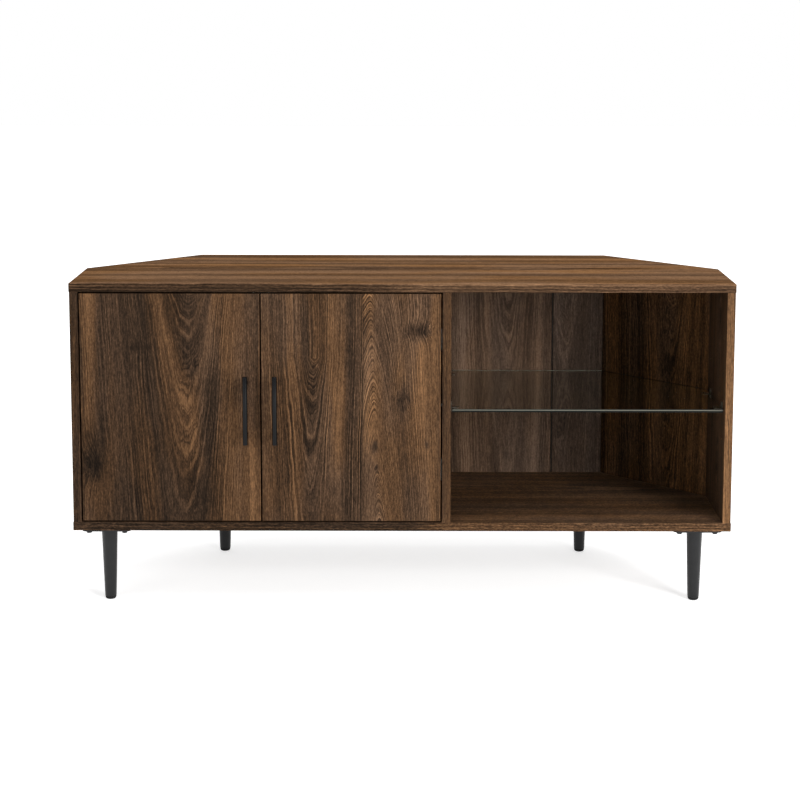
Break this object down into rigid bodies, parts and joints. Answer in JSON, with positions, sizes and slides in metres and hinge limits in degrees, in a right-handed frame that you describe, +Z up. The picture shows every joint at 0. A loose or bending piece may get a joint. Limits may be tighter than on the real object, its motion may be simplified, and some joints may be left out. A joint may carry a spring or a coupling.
{
  "type": "corner tv cabinet",
  "caption": "Corner media cabinet in dark walnut laminate with clipped rear corners, inset doors, an open bay with a glass shelf and tapered black legs.",
  "frame": {"origin": "centre of the base of the bounding box, on the floor", "axes": "+X to the right seen from the front, +Y to the back (the doors face -Y), +Z up"},
  "size_m": [1.2204, 0.4296, 0.608],
  "materials": {
    "walnut_top": "matt dark walnut laminate, grain along the width",
    "walnut_bottom": "matt dark walnut laminate, grain along the width",
    "walnut_left_side": "matt dark walnut laminate, upright grain",
    "walnut_right_side": "matt dark walnut laminate, upright grain",
    "walnut_divider": "matt dark walnut laminate, upright grain",
    "walnut_centre_back": "matt dark walnut laminate, upright grain",
    "walnut_back_strip": "matt dark walnut laminate, upright grain",
    "walnut_angled_back": "matt dark walnut laminate, upright grain",
    "walnut_shelf": "matt dark walnut laminate, grain along the width",
    "walnut_left_door": "matt dark walnut laminate, upright grain with cathedral figure",
    "walnut_right_door": "matt dark walnut laminate, upright grain with cathedral figure",
    "clear_glass": "clear toughened glass with ground edges",
    "black_leg": "satin black powder coat",
    "black_handle": "satin black powder coat",
    "bright_nickel": "nickel-plated steel",
    "zinc_screw": "bright zinc-plated steel",
    "black_plastic": "matt black plastic",
    "pale_plastic": "pale translucent plastic"
  },
  "bodies": {
    "cabinet": {"top_panel": "walnut_top", "bottom_panel": "walnut_bottom", "left_side_panel": "walnut_left_side", "right_side_panel": "walnut_right_side", "divider_panel": "walnut_divider", "centre_back_panel": "walnut_centre_back", "left_back_strip": "walnut_back_strip", "right_back_strip": "walnut_back_strip", "left_angled_panel": "walnut_angled_back", "right_angled_panel": "walnut_angled_back", "inner_shelf": "walnut_shelf", "inner_shelf_peg_1": "bright_nickel", "inner_shelf_peg_2": "bright_nickel", "inner_shelf_peg_3": "bright_nickel", "inner_shelf_peg_4": "bright_nickel", "glass_shelf": "clear_glass", "glass_support_1": "pale_plastic", "glass_support_2": "pale_plastic", "glass_support_3": "pale_plastic", "glass_support_4": "pale_plastic", "door_stop": "black_plastic", "left_stop_pad": "pale_plastic", "right_stop_pad": "pale_plastic", "front_left_leg": "black_leg", "front_right_leg": "black_leg", "rear_left_leg": "black_leg", "rear_right_leg": "black_leg", "front_left_glide": "black_plastic", "front_right_glide": "black_plastic", "rear_left_glide": "black_plastic", "rear_right_glide": "black_plastic", "left_lower_hinge_plate": "bright_nickel", "left_upper_hinge_plate": "bright_nickel", "right_lower_hinge_plate": "bright_nickel", "right_upper_hinge_plate": "bright_nickel", "left_lower_hinge_arm": "bright_nickel", "left_upper_hinge_arm": "bright_nickel", "right_lower_hinge_arm": "bright_nickel", "right_upper_hinge_arm": "bright_nickel"},
    "left_door": {"left_door": "walnut_left_door", "left_handle": "black_handle", "left_handle_screw_lower": "zinc_screw", "left_handle_screw_upper": "zinc_screw", "left_lower_hinge_cup": "bright_nickel", "left_upper_hinge_cup": "bright_nickel", "left_lower_hinge_pin": "zinc_screw", "left_upper_hinge_pin": "zinc_screw"},
    "right_door": {"right_door": "walnut_right_door", "right_handle": "black_handle", "right_handle_screw_lower": "zinc_screw", "right_handle_screw_upper": "zinc_screw", "right_lower_hinge_cup": "bright_nickel", "right_upper_hinge_cup": "bright_nickel", "right_lower_hinge_pin": "zinc_screw", "right_upper_hinge_pin": "zinc_screw"}
  },
  "joints": [
    {"name": "left_door_hinge", "type": "hinge", "parent": "cabinet", "child": "left_door", "pos_m": [-0.584, -0.17945, 0.376], "axis": [0, 0, -1], "range_deg": [0, 95]},
    {"name": "right_door_hinge", "type": "hinge", "parent": "cabinet", "child": "right_door", "pos_m": [0.0635, -0.17945, 0.376], "axis": [0, 0, 1], "range_deg": [0, 95]}
  ]
}
